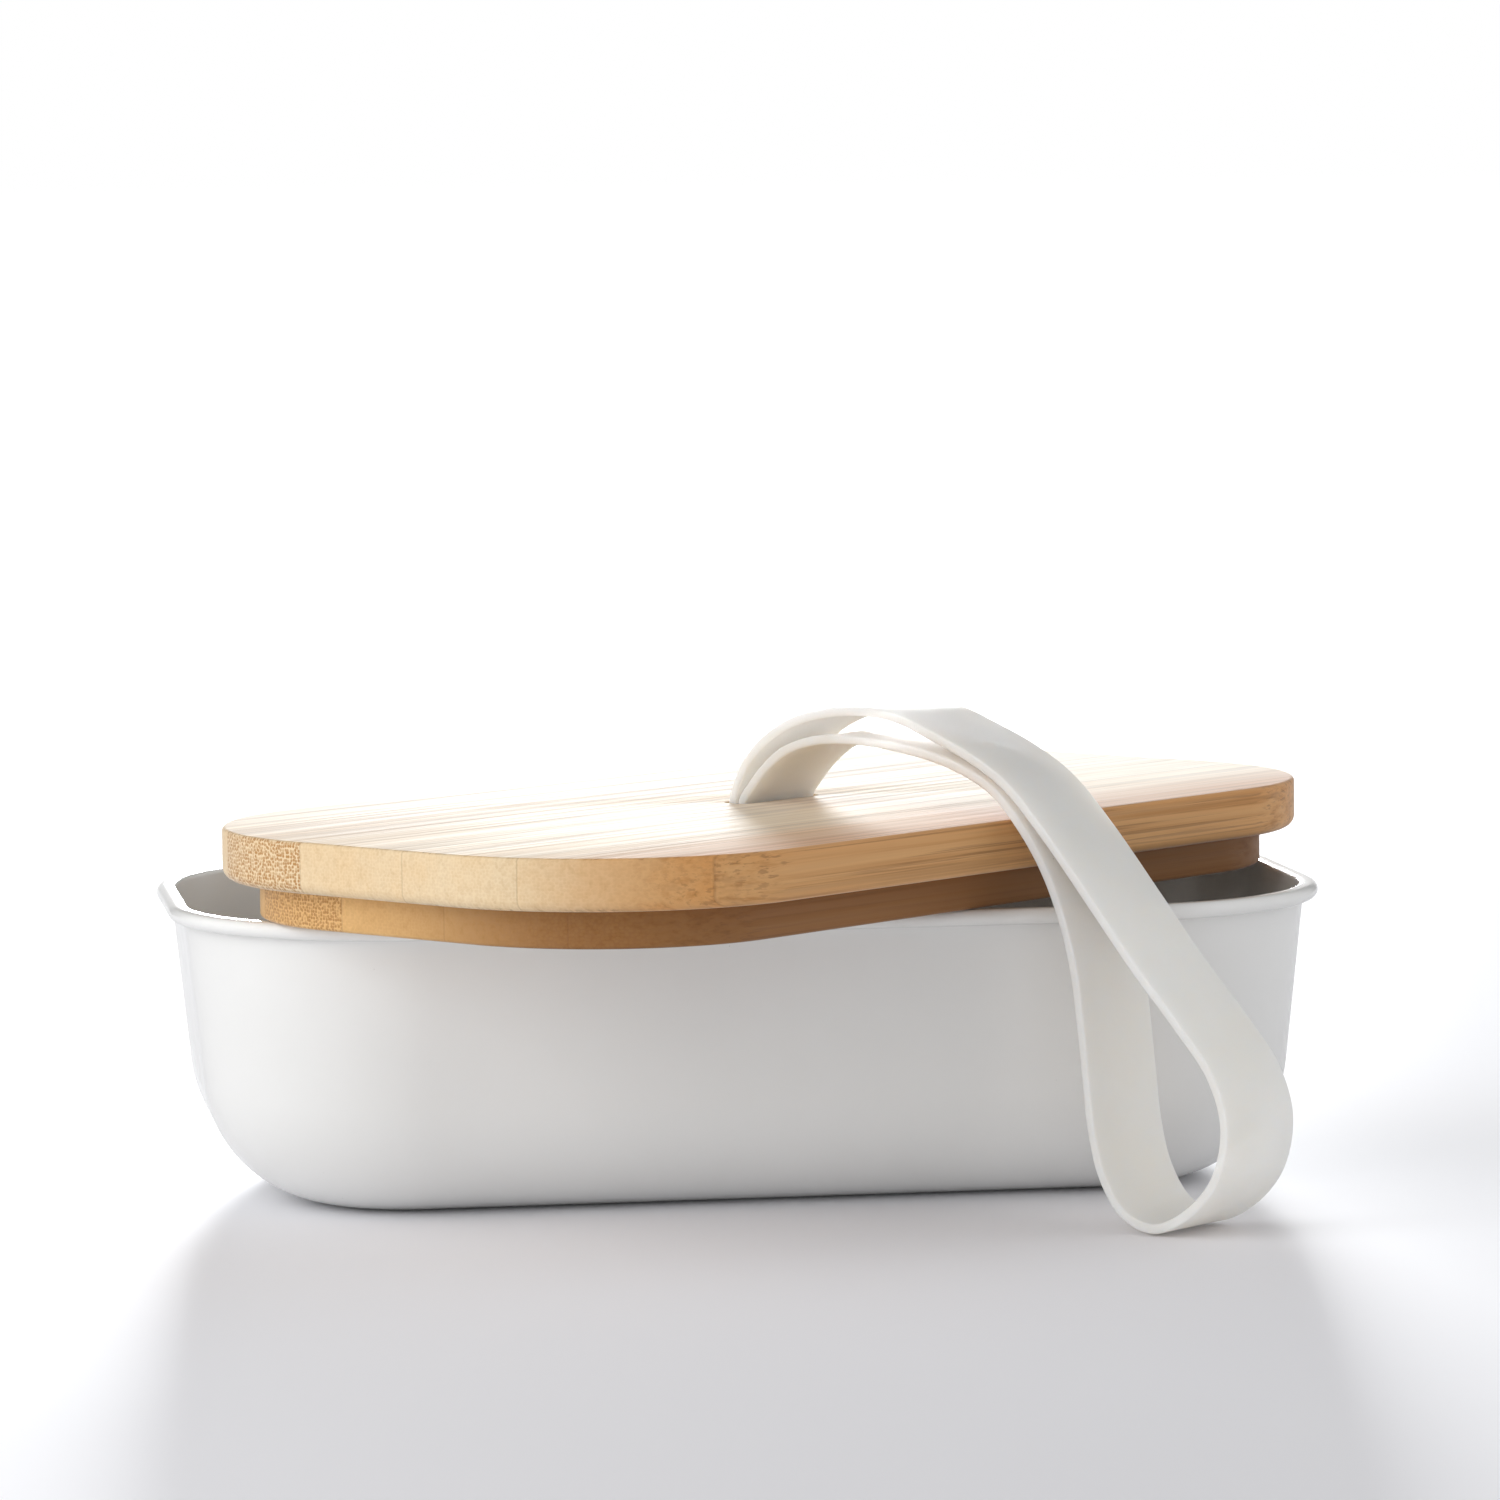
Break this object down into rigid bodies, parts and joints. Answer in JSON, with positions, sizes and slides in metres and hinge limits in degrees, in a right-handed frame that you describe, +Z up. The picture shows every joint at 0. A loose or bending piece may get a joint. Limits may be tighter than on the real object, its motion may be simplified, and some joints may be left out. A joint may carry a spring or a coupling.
{
  "type": "bento lunch box",
  "caption": "Rounded enamelled steel lunch box with a bamboo lid laid crosswise on its rim and a silicone strap looped through the lid's slot.",
  "frame": {"origin": "centre of the box's flat base, on the surface it stands on", "axes": "+X along the box's length, +Y away from the side the strap hangs on, +Z up"},
  "size_m": [0.2033, 0.186, 0.0847],
  "materials": {
    "enamel": "glossy vitreous enamel on steel",
    "bamboo": "oiled laminated bamboo, smooth sanded",
    "silicone": "milky translucent silicone, satin",
    "pin_steel": "plain stainless pin"
  },
  "bodies": {
    "box": {"box_shell": "enamel"},
    "lid": {"lid_strip_1": "bamboo", "lid_strip_2": "bamboo", "lid_strip_3": "bamboo", "lid_strip_4": "bamboo", "lid_strip_5": "bamboo", "lid_strip_6": "bamboo", "plug_strip_1": "bamboo", "plug_strip_2": "bamboo", "plug_strip_3": "bamboo", "plug_strip_4": "bamboo", "plug_strip_5": "bamboo", "strap_pin": "pin_steel", "strap_anchor": "silicone"},
    "strap": {"strap_loop": "silicone"}
  },
  "joints": [
    {"name": "lid_lift", "type": "slide", "parent": "box", "child": "lid", "axis": [0, 0, 1], "range_m": [0, 0.08]},
    {"name": "strap_swing", "type": "hinge", "parent": "lid", "child": "strap", "pos_m": [0.00514, -0.01107, 0.0677], "axis": [-0.7581, -0.6521, 0], "range_deg": [0, 60]}
  ]
}
